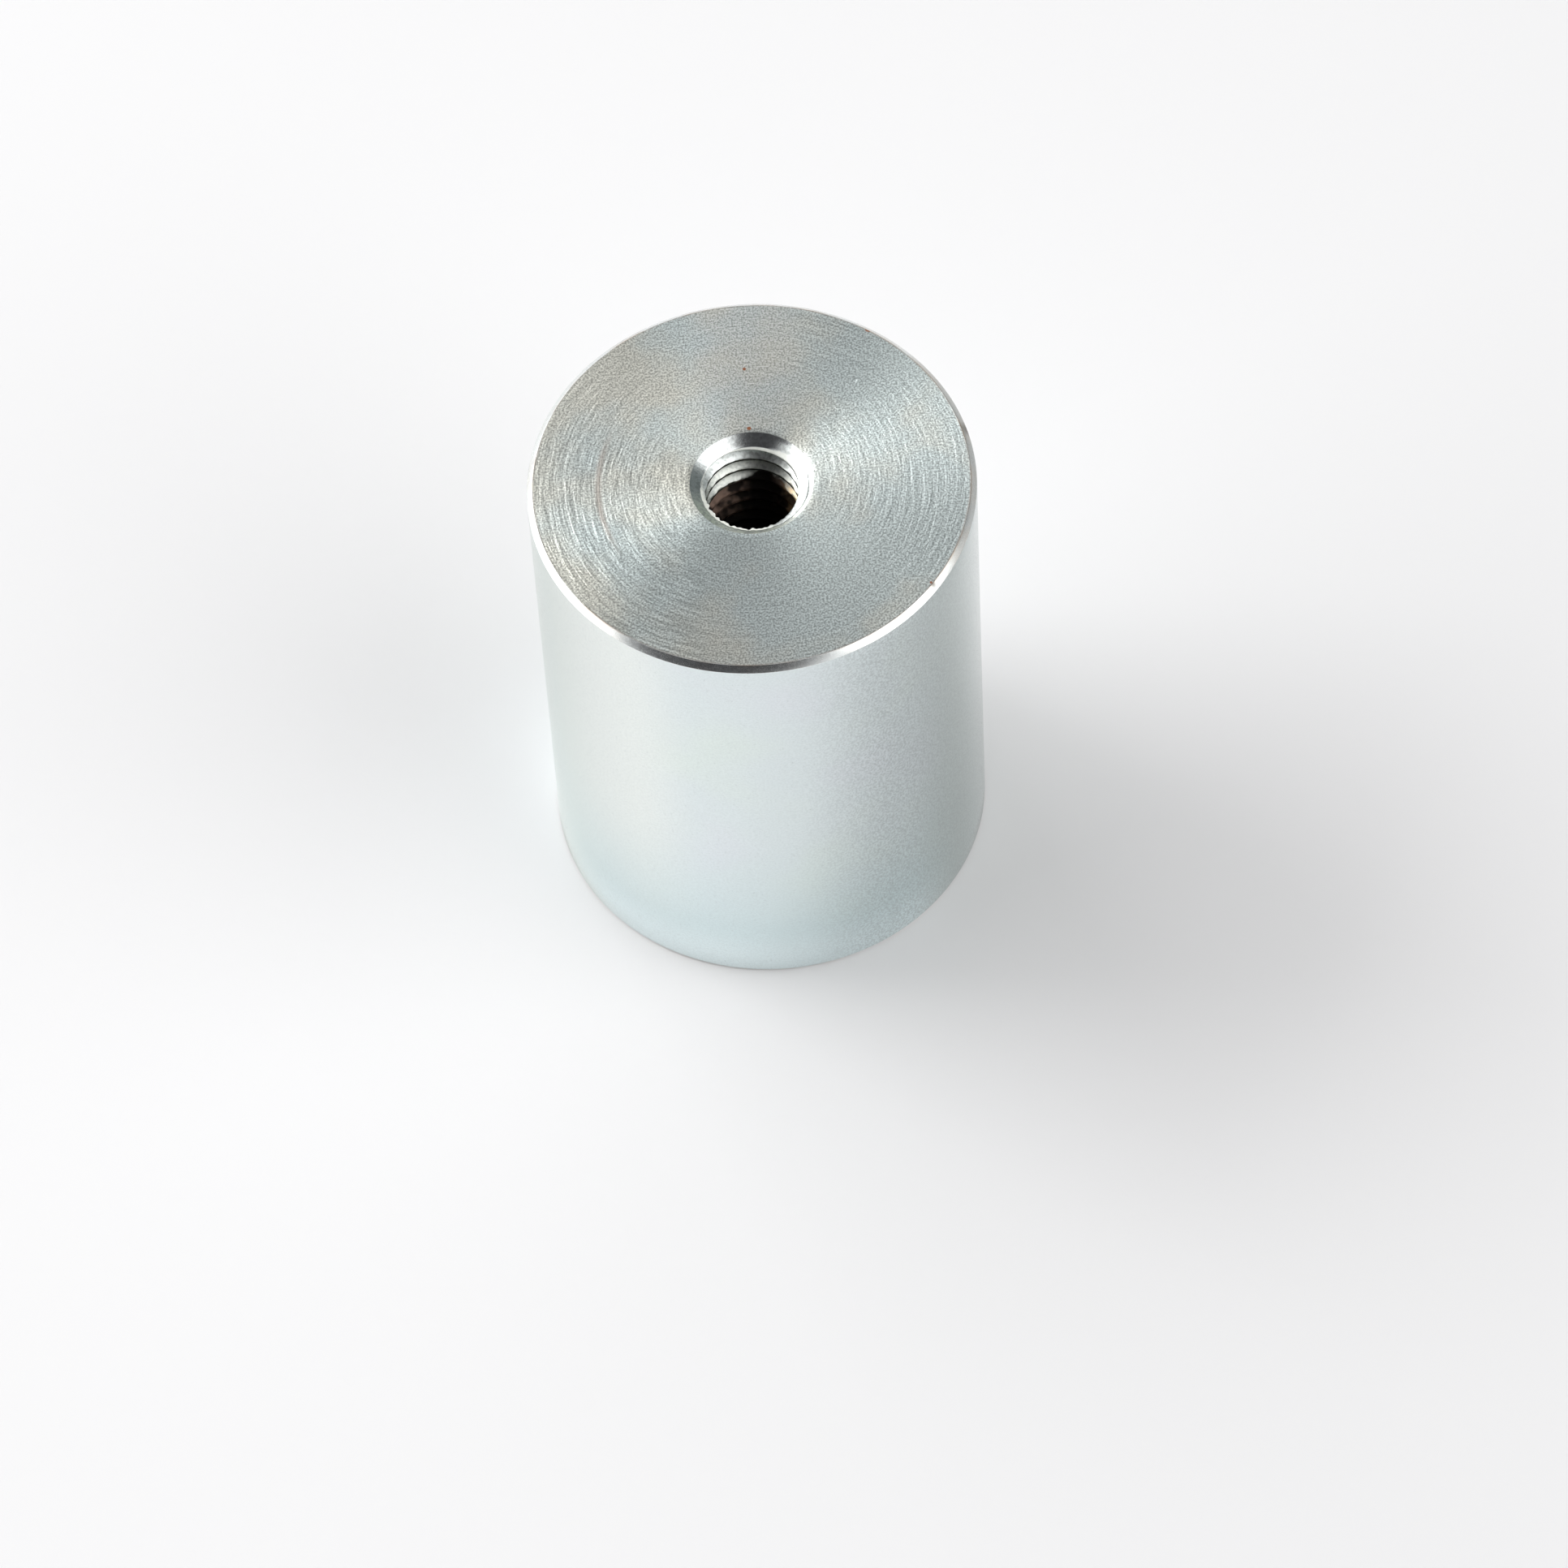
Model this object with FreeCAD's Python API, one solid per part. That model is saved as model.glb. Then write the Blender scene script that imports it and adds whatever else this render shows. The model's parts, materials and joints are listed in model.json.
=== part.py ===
import FreeCAD, Part
import math
import os

# Rod magnet with a tapped hole: a turned steel pot that holds a round magnet core in a
# non-magnetic spacer sleeve. The origin is the centre of the magnetic face, and +Z runs
# along the axis towards the threaded end. Lengths are millimetres, angles are degrees.

# Steel pot
housing_diameter = 32.0
housing_height = 40.0
wall_thickness = 3.0
threaded_end_chamfer = 0.4
magnetic_end_chamfer = 0.2
bore_corner_radius = 0.5

# Tapped blind hole, M8 coarse, in the solid end of the pot
thread_diameter = 8.0
thread_pitch = 1.25
thread_depth = 11.0
tap_runout = 2.5
countersink_margin = 0.4
countersink_angle = 120.0
drill_point_angle = 118.0
floor_under_drill_point = 1.5

# Spacer sleeve and magnet core
sleeve_wall = 2.9
bond_film = 0.05
core_edge_break = 0.5

# Basic profile of a metric thread: the flanks meet at 60 degrees, and an internal thread
# keeps five eighths of the sharp triangle's height
flank_angle = 60.0
internal_thread_share = 5.0 / 8.0

# Sizes that follow: the tapped hole
sharp_thread_height = thread_pitch / 2.0 / math.tan(math.radians(flank_angle / 2.0))
hole_radius = thread_diameter / 2.0 - internal_thread_share * sharp_thread_height
countersink_radius = thread_diameter / 2.0 + countersink_margin
countersink_half_angle = math.radians(countersink_angle / 2.0)
countersink_depth = (countersink_radius - hole_radius) / math.tan(countersink_half_angle)
drilled_depth = thread_depth + tap_runout
drill_point_height = hole_radius / math.tan(math.radians(drill_point_angle / 2.0))

# Sizes that follow: the pot's bore, and what fills it
housing_radius = housing_diameter / 2.0
bore_radius = housing_radius - wall_thickness
bore_floor = housing_height - drilled_depth - drill_point_height - floor_under_drill_point
sleeve_outer_radius = bore_radius - bond_film
sleeve_inner_radius = sleeve_outer_radius - sleeve_wall
core_radius = sleeve_inner_radius - bond_film


class TurnedOutline:
    """Half section of a turned piece, as lines and arcs of radius and height."""

    def __init__(self, radius, height):
        self.start = FreeCAD.Vector(radius, 0.0, height)
        self.here = self.start
        self.edges = []

    def line(self, radius, height):
        """Goes straight to a point."""
        there = FreeCAD.Vector(radius, 0.0, height)
        self.edges.append(Part.makeLine(self.here, there))
        self.here = there
        return self

    def inside_corner(self, corner_radius, corner_height, fillet):
        """Goes up to a bore's floor and turns inwards on a quarter circle."""
        centre_radius = corner_radius - fillet
        centre_height = corner_height - fillet
        reach = fillet * math.sqrt(0.5)
        middle = FreeCAD.Vector(centre_radius + reach, 0.0, centre_height + reach)
        there = FreeCAD.Vector(centre_radius, 0.0, corner_height)
        self.line(corner_radius, centre_height)
        self.edges.append(Part.Arc(self.here, middle, there).toShape())
        self.here = there
        return self

    def turn(self):
        """Closes the outline and turns it about the axis into a solid."""
        self.line(self.start.x, self.start.z)
        face = Part.Face(Part.Wire(self.edges))
        axis_point = FreeCAD.Vector(0.0, 0.0, 0.0)
        axis_direction = FreeCAD.Vector(0.0, 0.0, 1.0)
        return face.revolve(axis_point, axis_direction, 360.0)


def pot_housing():
    """Turned cup, open at the magnetic face, with the tapped hole in its solid end."""
    top = housing_height
    outline = TurnedOutline(bore_radius, 0.0)
    outline.inside_corner(bore_radius, bore_floor, bore_corner_radius)
    outline.line(0.0, bore_floor)
    outline.line(0.0, top - drilled_depth - drill_point_height)
    outline.line(hole_radius, top - drilled_depth)
    outline.line(hole_radius, top - countersink_depth)
    outline.line(countersink_radius, top)
    outline.line(housing_radius - threaded_end_chamfer, top)
    outline.line(housing_radius, top - threaded_end_chamfer)
    outline.line(housing_radius, magnetic_end_chamfer)
    outline.line(housing_radius - magnetic_end_chamfer, 0.0)
    return outline.turn()


def spacer_sleeve():
    """Plain tube that keeps the core off the pot's wall, seated on the bore's floor.

    Its seated outer edge is bevelled as far as the corner that the boring tool leaves.
    """
    bevel = bore_corner_radius
    outline = TurnedOutline(sleeve_inner_radius, 0.0)
    outline.line(sleeve_outer_radius, 0.0)
    outline.line(sleeve_outer_radius, bore_floor - bevel)
    outline.line(sleeve_outer_radius - bevel, bore_floor)
    outline.line(sleeve_inner_radius, bore_floor)
    return outline.turn()


def magnet_core():
    """Cast and ground bar magnet, seated on the bore's floor and flush at the other end."""
    outline = TurnedOutline(0.0, 0.0)
    outline.line(core_radius, 0.0)
    outline.line(core_radius, bore_floor - core_edge_break)
    outline.line(core_radius - core_edge_break, bore_floor)
    outline.line(0.0, bore_floor)
    return outline.turn()


pieces = {
    "pot_housing": pot_housing(),
    "spacer_sleeve": spacer_sleeve(),
    "magnet_core": magnet_core(),
}

os.makedirs("parts", exist_ok=True)
for name, solid in pieces.items():
    solid.exportStep("parts/" + name + ".step")
    print(name, "valid", solid.isValid(), "volume", round(solid.Volume, 1), "mm3")
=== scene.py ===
"""Visual model of a threaded rod magnet, standing on its magnetic face on a pale floor.

The plated steel pot is turned here with its real M8 thread, and stands for its plain solid.
The spacer sleeve and the magnet core keep their solids and get their ground finishes.
Lengths are metres. The origin is the centre of the magnetic face and +Z is the axis.
"""

import json
import logging
import math
from dataclasses import dataclass, field
from enum import Enum
from functools import partial, reduce
from typing import Any

import bpy
import numpy as np
from mathutils import Matrix, Vector


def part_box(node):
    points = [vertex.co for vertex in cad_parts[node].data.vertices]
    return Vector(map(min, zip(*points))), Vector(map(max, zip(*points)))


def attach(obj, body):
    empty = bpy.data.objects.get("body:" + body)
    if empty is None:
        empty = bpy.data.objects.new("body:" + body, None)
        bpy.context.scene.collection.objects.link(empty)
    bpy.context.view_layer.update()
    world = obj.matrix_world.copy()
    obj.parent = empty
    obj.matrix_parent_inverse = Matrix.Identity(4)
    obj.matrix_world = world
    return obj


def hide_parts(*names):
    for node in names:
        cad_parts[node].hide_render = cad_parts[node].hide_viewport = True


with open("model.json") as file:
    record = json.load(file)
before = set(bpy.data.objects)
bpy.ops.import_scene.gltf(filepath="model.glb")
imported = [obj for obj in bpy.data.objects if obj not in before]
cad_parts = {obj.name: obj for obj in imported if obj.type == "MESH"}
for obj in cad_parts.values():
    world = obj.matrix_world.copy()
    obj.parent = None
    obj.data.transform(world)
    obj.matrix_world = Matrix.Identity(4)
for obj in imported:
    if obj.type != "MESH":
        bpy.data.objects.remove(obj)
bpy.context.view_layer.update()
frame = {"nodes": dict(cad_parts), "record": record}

MM = 0.001
TURN = 2.0 * math.pi
LOG = logging.getLogger("rod_magnet")

Socket = bpy.types.NodeSocket
Colour = tuple[float, float, float]
Span = tuple[float, float]


class Zone(Enum):
    """Surfaces of the pot that have a finish of their own, in the order of their slots."""

    SIDE = 0
    TURNED_FACE = 1
    CHAMFER = 2
    TAPPED_HOLE = 3
    GROUND_RIM = 4
    BORE = 5


class Wiring:
    """Adds nodes to one node tree and joins them."""

    def __init__(self, tree: bpy.types.NodeTree) -> None:
        """Keeps the tree that the nodes go into: a material's, a group's or the world's."""
        self.tree = tree

    def node(self, kind: str, *values: Any, **settings: Any) -> bpy.types.Node:
        """Adds one node.

        Args:
            kind: the node's type name.
            values: sockets or plain values for its inputs, in their order.
            settings: values for the node's own properties.

        Returns:
            The new node.
        """
        made = self.tree.nodes.new(kind)
        for name, setting in settings.items():
            setattr(made, name, setting)
        for socket, value in zip(made.inputs, values):
            self.feed(socket, value)
        return made

    def feed(self, socket: Socket, value: Any) -> None:
        """Links a socket to the input, or sets the input to a plain value.

        Args:
            socket: the input socket.
            value: an output socket, a number, or a tuple of numbers.
        """
        if isinstance(value, bpy.types.NodeSocket):
            self.tree.links.new(value, socket)
        else:
            socket.default_value = value

    def math(self, operation: str, *values: Any) -> Socket:
        """Works out one number from others by one of the Math node's operations."""
        return self.node("ShaderNodeMath", *values, operation=operation).outputs[0]

    def times(self, *values: Any) -> Socket:
        """Multiplies two or more numbers in turn."""
        return reduce(partial(self.math, "MULTIPLY"), values)

    def plus(self, *values: Any) -> Socket:
        """Adds two or more numbers in turn."""
        return reduce(partial(self.math, "ADD"), values)

    def most(self, *values: Any) -> Socket:
        """Picks the largest of two or more numbers."""
        return reduce(partial(self.math, "MAXIMUM"), values)

    def less(self, value: Any, taken: Any) -> Socket:
        """Takes the second number from the first."""
        return self.math("SUBTRACT", value, taken)

    def step(self, value: Any, low: float, high: float) -> Socket:
        """Rises smoothly from 0 at low to 1 at high, or falls where low is above high.

        Args:
            value: the socket that is read.
            low: where the result is 0.
            high: where the result is 1.

        Returns:
            The socket of the smooth step.
        """
        ends = (low, high, 0.0, 1.0) if low < high else (high, low, 1.0, 0.0)
        made = self.node("ShaderNodeMapRange", value, *ends, interpolation_type="SMOOTHSTEP")
        return made.outputs["Result"]

    def span(self, value: Any, low: Any, high: Any) -> Socket:
        """Stretches a number from 0 to 1 onto the range from low to high."""
        return self.node("ShaderNodeMapRange", value, 0.0, 1.0, low, high).outputs["Result"]

    def noise(self, vector: Any, scale: Any, detail: float = 2.0) -> Socket:
        """Adds smooth noise from 0 to 1.

        Args:
            vector: the coordinates that are read.
            scale: lumps for each unit of the coordinates.
            detail: how many finer layers are added.

        Returns:
            The noise's socket.
        """
        made = self.node("ShaderNodeTexNoise", vector, noise_dimensions="3D")
        self.feed(made.inputs["Scale"], scale)
        self.feed(made.inputs["Detail"], detail)
        return made.outputs["Fac"]

    def blend(self, share: Any, first: Any, second: Any) -> Socket:
        """Mixes two colours.

        Args:
            share: 0 gives the first colour and 1 the second.
            first: a colour or its socket.
            second: a colour or its socket.

        Returns:
            The mixed colour's socket.
        """
        made = self.node("ShaderNodeMix", share, data_type="RGBA")
        colours = [s for s in made.inputs if s.type == "RGBA"]
        for socket, value in zip(colours, (first, second)):
            self.feed(socket, value if isinstance(value, bpy.types.NodeSocket) else (*value, 1.0))
        return next(s for s in made.outputs if s.type == "RGBA")

    def bump(self, height: Any, depth: float) -> Socket:
        """Turns a height from 0 to 1 into a normal.

        Args:
            height: the height's socket.
            depth: the real height of 1, in metres.

        Returns:
            The normal's socket.
        """
        made = self.node("ShaderNodeBump")
        self.feed(made.inputs["Height"], height)
        self.feed(made.inputs["Distance"], depth)
        return made.outputs["Normal"]

    def stored(self, name: str) -> Socket:
        """Returns the number that the mesh stores at its points under a name."""
        return self.node("ShaderNodeAttribute", attribute_name=name).outputs["Fac"]

    def split(self, vector: Any) -> tuple[Socket, Socket, Socket]:
        """Returns the three parts of a vector."""
        return tuple(self.node("ShaderNodeSeparateXYZ", vector).outputs)

    def join(self, x: Any, y: Any, z: Any) -> Socket:
        """Returns a vector made of three numbers."""
        return self.node("ShaderNodeCombineXYZ", x, y, z).outputs[0]

    def distance(self, x: Any, y: Any) -> Socket:
        """Returns the distance from the axis: the root of x squared plus y squared."""
        return self.math("SQRT", self.plus(self.times(x, x), self.times(y, y)))


class Effect(Wiring):
    """A node group that several finishes share: it is fed a vector and some numbers."""

    def __init__(self, name: str, *numbers: str) -> None:
        """Starts the group.

        Args:
            name: the group's name.
            numbers: the names of its inputs besides Vector.
        """
        super().__init__(bpy.data.node_groups.new(name, "ShaderNodeTree"))
        for label, kind in {"Vector": "Vector", **dict.fromkeys(numbers, "Float")}.items():
            self.tree.interface.new_socket(label, in_out="INPUT", socket_type="NodeSocket" + kind)
        self.given = self.node("NodeGroupInput").outputs
        self.place = self.given["Vector"]

    def give(self, **values: Socket) -> bpy.types.NodeTree:
        """Feeds the group's outputs and returns the finished group.

        Args:
            values: each output's socket; the output is a colour or a number, as the socket is.

        Returns:
            The group.
        """
        for label, value in values.items():
            kind = "Color" if value.type == "RGBA" else "Float"
            self.tree.interface.new_socket(label, in_out="OUTPUT", socket_type="NodeSocket" + kind)
        out = self.node("NodeGroupOutput")
        for label, value in values.items():
            self.feed(out.inputs[label], value)
        return self.tree


@dataclass
class Effects:
    """The effects that several finishes share, each built once as a node group."""

    least_radius: float = 0.01 * MM
    ragged_lumps: float = 1600.0
    raggedness: float = 0.9
    rust_edge: Span = (0.35, 0.65)
    mottle_lumps: float = 900.0
    mottle_edge: Span = (0.4, 0.65)
    dark_brown: Colour = (0.03, 0.02, 0.016)
    pale_brown: Colour = (0.42, 0.29, 0.23)

    def __post_init__(self) -> None:
        """Builds every group."""
        self.turning = self.turning_marks()
        self.plating = self.plating_grain()
        self.rust = self.rust_bloom()
        self.grinding = self.grinding_marks()

    def turning_marks(self) -> bpy.types.NodeTree:
        """Rings left by the lathe tool, broken up round the circle.

        The noise is read at the cosine and sine of the angle, times Breaks, and at the radius
        less the height, times Rings, so that the same rings run over faces, sides and chamfers.

        Returns:
            The group, with a height.
        """
        w = Effect("turning_marks", "Rings", "Breaks")
        x, y, z = w.split(w.place)
        radius = w.most(w.distance(x, y), self.least_radius)
        across = w.times(w.math("DIVIDE", x, radius), w.given["Breaks"])
        along = w.times(w.math("DIVIDE", y, radius), w.given["Breaks"])
        ring = w.times(w.less(radius, z), w.given["Rings"])
        return w.give(Height=w.noise(w.join(across, along, ring), 1.0, 3.0))

    def plating_grain(self) -> bpy.types.NodeTree:
        """Fine crystal speckle and broad clouds of a zinc plate.

        Returns:
            The group, with a grain and a cloud from 0 to 1.
        """
        w = Effect("plating_grain", "Grain", "Cloud")
        grain = w.noise(w.place, w.given["Grain"], 3.0)
        return w.give(Grain=grain, Cloud=w.noise(w.place, w.given["Cloud"], 2.0))

    def rust_bloom(self) -> bpy.types.NodeTree:
        """Rust that eats in from a given amount with a ragged edge.

        Returns:
            The group, with the rust's mask, its mottled colour and the mottle itself.
        """
        w = Effect("rust_bloom", "Amount")
        uneven = w.less(w.noise(w.place, self.ragged_lumps, 4.0), 0.5)
        ragged = w.plus(w.given["Amount"], w.times(uneven, self.raggedness))
        patches = w.step(w.noise(w.place, self.mottle_lumps, 2.0), *self.mottle_edge)
        colour = w.blend(patches, self.dark_brown, self.pale_brown)
        return w.give(Mask=w.step(ragged, *self.rust_edge), Colour=colour, Patches=patches)

    def grinding_marks(self) -> bpy.types.NodeTree:
        """Straight scratches of a surface grinder, along X.

        The noise is stretched: few lumps along the scratches and many across them.

        Returns:
            The group, with a height.
        """
        w = Effect("grinding_marks", "Across", "Along")
        x, y, _ = w.split(w.place)
        stretched = w.join(w.times(x, w.given["Along"]), w.times(y, w.given["Across"]), 0.0)
        return w.give(Height=w.noise(stretched, 1.0, 4.0))


class Finish(Wiring):
    """One material: a Principled shader and the nodes that feed it.

    The place is the piece's own coordinates, x, y and z are its parts, and the radius is the
    distance from the axis.
    """

    def __init__(self, name: str, **constants: Any) -> None:
        """Makes the material.

        Args:
            name: the material's name.
            constants: values for the shader's own sockets, with _ for a space.
        """
        self.material = bpy.data.materials.new(name)
        self.material.use_nodes = True
        super().__init__(self.material.node_tree)
        self.shader = self.tree.nodes["Principled BSDF"]
        for socket, value in constants.items():
            self.shader.inputs[socket.replace("_", " ")].default_value = value
        self.place = self.node("ShaderNodeTexCoord").outputs["Object"]
        self.x, self.y, self.z = self.split(self.place)
        self.radius = self.distance(self.x, self.y)

    def shared(self, group: bpy.types.NodeTree, **values: Any) -> dict[str, Socket]:
        """Places a shared effect on the piece's own coordinates.

        Args:
            group: the effect's node group.
            values: its other inputs by name.

        Returns:
            The effect's outputs by name.
        """
        made = self.node("ShaderNodeGroup", node_tree=group)
        for name, value in {"Vector": self.place, **values}.items():
            self.feed(made.inputs[name], value)
        return {socket.name: socket for socket in made.outputs}

    def give(self, **values: Any) -> bpy.types.Material:
        """Feeds sockets of the shader, with _ for a space, and returns the finished material.

        Args:
            values: an output socket or a plain value for each of the shader's sockets.

        Returns:
            The material.
        """
        for name, value in values.items():
            self.feed(self.shader.inputs[name.replace("_", " ")], value)
        return self.material


@dataclass(frozen=True)
class Mark:
    """A small mark on the threaded end: its place on the face and its half width."""

    x: float
    y: float
    size: float

    def share(self, w: Finish) -> Socket:
        """Returns a number that falls from 1 at the mark's centre to 0 at twice its size."""
        away = w.distance(w.less(w.x, self.x), w.less(w.y, self.y))
        return w.step(away, 2.0 * self.size, 0.0)


@dataclass(frozen=True)
class Window:
    """A soft-edged part of a surface: where a step along X and one along Y are both high."""

    along_x: Span
    along_y: Span

    def share(self, w: Finish, x: Socket) -> Socket:
        """Returns a number that rises to 1 inside, with x for the place along X."""
        return w.times(w.step(x, *self.along_x), w.step(w.y, *self.along_y))


@dataclass(frozen=True)
class BluePlate:
    """Bright zinc with a pale blue clear passivation. Painted shade darkens its right side and the band
    towards the foot; painted light brightens its left and its very bottom.

    Each span gives where a soft edge starts and where it ends: heights above the magnetic
    face, places along X, or levels of the cloud and the grain.
    """

    middle: Colour = (0.772, 0.84, 0.848)
    green: Colour = (0.78, 0.865, 0.81)
    violet: Colour = (0.785, 0.825, 0.86)
    # partly a cream tint, partly painted light that brightens the left side
    cream_and_painted_light: Colour = (0.86, 0.90, 0.872)
    # bluer and darker towards the foot: partly the plate's own tint, partly painted shade where the
    # side mirrors the darker floor next to it
    foot: Colour = (0.68, 0.80, 0.815)
    # painted light with a bluer tint: brightens the lowest millimetres, offsetting the darker floor
    # they mirror
    base: Colour = (0.82, 0.92, 0.935)
    # painted shade: the darker colour of the right side, which mirrors the floor in the pot's shadow
    painted_shade_colour: Colour = (0.55, 0.61, 0.595)
    speckle: Colour = (0.38, 0.42, 0.42)
    green_clouds: Span = (0.5, 0.72)
    green_share: float = 0.7
    green_rim: Span = (0.62, 0.95)
    violet_clouds: Span = (0.48, 0.3)
    cream_light_inner: Span = (-5.0 * MM, -10.0 * MM)
    cream_light_outer: Span = (-15.6 * MM, -14.4 * MM)
    foot_edge: Span = (19.0 * MM, 0.0)
    foot_waver: float = 3.0 * MM
    base_edge: Span = (6.0 * MM, 1.5 * MM)
    painted_shade_edge: Span = (9.3 * MM, 14.2 * MM)
    pits: Span = (0.66, 0.74)
    pit_share: float = 0.4
    speckles: Span = (0.38, 0.62)
    speckle_edge: Span = (1.0 * MM, 9.0 * MM)
    speckle_share: Span = (0.10, 0.50)
    roughness: Span = (0.10, 0.18)
    turning_share: float = 0.15
    relief: float = 0.015 * MM

    def material(self, effects: Effects) -> bpy.types.Material:
        """Builds the finish: colour bands by height and cloud, partly painted shade and light, faint
        turning, fine speckle.

        Args:
            effects: the shared effects.

        Returns:
            The material.
        """
        w = Finish("blue_zinc_plate", Metallic=1.0)
        plating = w.shared(effects.plating, Grain=6500.0, Cloud=70.0)
        grain, cloud = plating["Grain"], plating["Cloud"]
        rings = w.shared(effects.turning, Rings=3600.0, Breaks=2.0)
        greener = w.times(w.step(cloud, *self.green_clouds), self.green_share)
        greenish = w.blend(greener, self.middle, self.green)
        clouded = w.blend(w.step(cloud, *self.violet_clouds), greenish, self.violet)
        # a cream tint plus painted light on the left side
        left = w.times(w.step(w.x, *self.cream_light_inner), w.step(w.x, *self.cream_light_outer))
        cream_and_lit = w.blend(left, clouded, self.cream_and_painted_light)
        # partly a bluer tint, partly painted shade: darker towards the foot
        uneven = w.plus(w.z, w.span(cloud, -self.foot_waver, self.foot_waver))
        shaded_to_foot = w.blend(w.step(uneven, *self.foot_edge), cream_and_lit, self.foot)
        # painted light at the very bottom of the side
        foot_shade_and_light = w.blend(w.step(w.z, *self.base_edge), shaded_to_foot, self.base)
        edge_on = w.node("ShaderNodeLayerWeight").outputs["Facing"]
        rimmed = w.blend(w.step(edge_on, *self.green_rim), foot_shade_and_light, self.green)
        # painted shade: the right side is darkened where it mirrors the shadowed floor
        shade_painted = w.blend(w.step(w.x, *self.painted_shade_edge), rimmed, self.painted_shade_colour)
        coarser = w.span(w.step(w.x, *self.speckle_edge), *self.speckle_share)
        speckled = w.times(w.step(grain, *self.speckles), coarser)
        dark = w.most(w.times(w.step(grain, *self.pits), self.pit_share), speckled)
        carved = w.plus(grain, w.times(rings["Height"], self.turning_share))
        return w.give(
            Base_Color=w.blend(dark, shade_painted, self.speckle),
            Roughness=w.span(grain, *self.roughness),
            Normal=w.bump(carved, self.relief),
        )


@dataclass(frozen=True)
class TurnedFace:
    """Satin face-turned threaded end, with lathe rings, stains, a nick, dots of rust, and painted light
    and shade.
    """

    warm: Colour = (0.82, 0.82, 0.735)
    cool: Colour = (0.735, 0.815, 0.80)
    hue_edge: Span = (-0.35, 0.35)
    hue_by_x: float = 0.015 / MM
    hue_by_cloud: float = 1.8
    cooler: Window = Window((15.4 * MM, 12.0 * MM), (0.0, -5.0 * MM))
    cooler_by: float = 0.34
    # painted light and shade: brightness scales for the near and far parts and the sides of the face
    near_painted_level: float = 1.03
    far_painted_light: float = 1.30
    behind: Window = Window((9.5 * MM, 2.0 * MM), (-5.0 * MM, 8.0 * MM))
    before: Window = Window((2.0 * MM, 8.0 * MM), (-1.0 * MM, -7.0 * MM))
    before_side: Span = (-3.0 * MM, 3.0 * MM)
    before_left: float = 0.1
    painted_shade_left: Window = Window((-2.0 * MM, -7.0 * MM), (-9.0 * MM, -5.0 * MM))
    painted_shade_left_share: float = 0.6
    painted_shade_by: float = -0.11
    painted_light_right: Window = Window((4.0 * MM, 12.0 * MM), (-4.0 * MM, 2.0 * MM))
    painted_light_by: float = 0.10
    speckles: Span = (0.37, 0.62)
    dull_share: float = 0.52
    # painted glint and shade: the tool marks are lightened and darkened in colour at the near left,
    # where the highlight falls
    painted_glints: Window = Window((-2.0 * MM, -6.0 * MM), (6.0 * MM, 1.0 * MM))
    scores: Span = (0.4, 0.6)
    painted_glint_depth: float = 0.15
    stain: Colour = (0.46, 0.39, 0.34)
    stain_clouds: Span = (0.3, 0.6)
    arc_radius: float = 10.9 * MM
    arc_width: float = 0.4 * MM
    arc_edge: Span = (-9.3 * MM, -10.9 * MM)
    arc_share: float = 0.6
    rim_edge: Span = (15.42 * MM, 15.6 * MM)
    rim_share: float = 0.7
    rust: Colour = (0.27, 0.10, 0.045)
    rust_dots: tuple[Mark, ...] = (
        Mark(0.0, 9.95 * MM, 0.15 * MM),
        Mark(0.08 * MM, 4.72 * MM, 0.18 * MM),
        Mark(9.1 * MM, 12.75 * MM, 0.28 * MM),
        Mark(12.15 * MM, -9.55 * MM, 0.17 * MM),
    )
    rust_onset: float = 0.1
    rust_dullness: float = 0.8
    roughness: Span = (0.37, 0.31)
    roughness_edge: Span = (6.0 * MM, 13.0 * MM)
    roughness_grain: Span = (-0.08, 0.08)
    nick: Mark = Mark(7.9 * MM, 8.4 * MM, 0.13 * MM)
    nick_depth: float = 1.8
    bold_edge: Span = (2.0 * MM, 7.5 * MM)
    bold_share: Span = (1.6, 4.2)
    grain_share: float = 0.7
    relief: float = 0.015 * MM

    def hue(self, w: Finish, cloud: Socket) -> Socket:
        """Colours the plate: warmer at the left, cooler at the right and near, with clouds.

        Args:
            w: the finish.
            cloud: broad clouds, from 0 to 1.

        Returns:
            The colour's socket.
        """
        nearer = w.times(self.cooler.share(w, w.radius), self.cooler_by)
        shifted = w.plus(w.times(w.x, self.hue_by_x), nearer)
        tone = w.plus(shifted, w.times(w.less(cloud, 0.5), self.hue_by_cloud))
        return w.blend(w.step(tone, *self.hue_edge), self.warm, self.cool)

    def level(self, w: Finish) -> Socket:
        """Paints light and shade into the plate's colour: brighter behind and at the right, dimmer at
        both near sides.

        Args:
            w: the finish.

        Returns:
            The painted brightness, about 1.
        """
        # painted shade at the near sides and the left, painted light behind and at the right
        aside = w.math("ABSOLUTE", w.x)
        side = w.span(w.step(w.x, *self.before_side), self.before_left, 1.0)
        before = w.times(self.before.share(w, aside), side)
        left = w.times(self.painted_shade_left.share(w, w.x), self.painted_shade_left_share)
        dimmer = w.times(w.plus(before, left), self.painted_shade_by)
        brighter = w.times(self.painted_light_right.share(w, w.x), self.painted_light_by)
        behind = w.span(self.behind.share(w, aside), self.near_painted_level, self.far_painted_light)
        return w.plus(behind, w.plus(dimmer, brighter))

    def metal(self, w: Finish, grain: dict[str, Socket], rings: Socket) -> Socket:
        """Colours the bare plate, scaled by the painted light and shade of level. Painted glints and
        shade show along the tool marks at the near left.

        Args:
            w: the finish.
            grain: the outputs of the plating's shared effect.
            rings: the height of the fine tool marks.

        Returns:
            The colour's socket.
        """
        speckle = w.span(w.step(grain["Grain"], *self.speckles), self.dull_share, 1.0)
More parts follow.
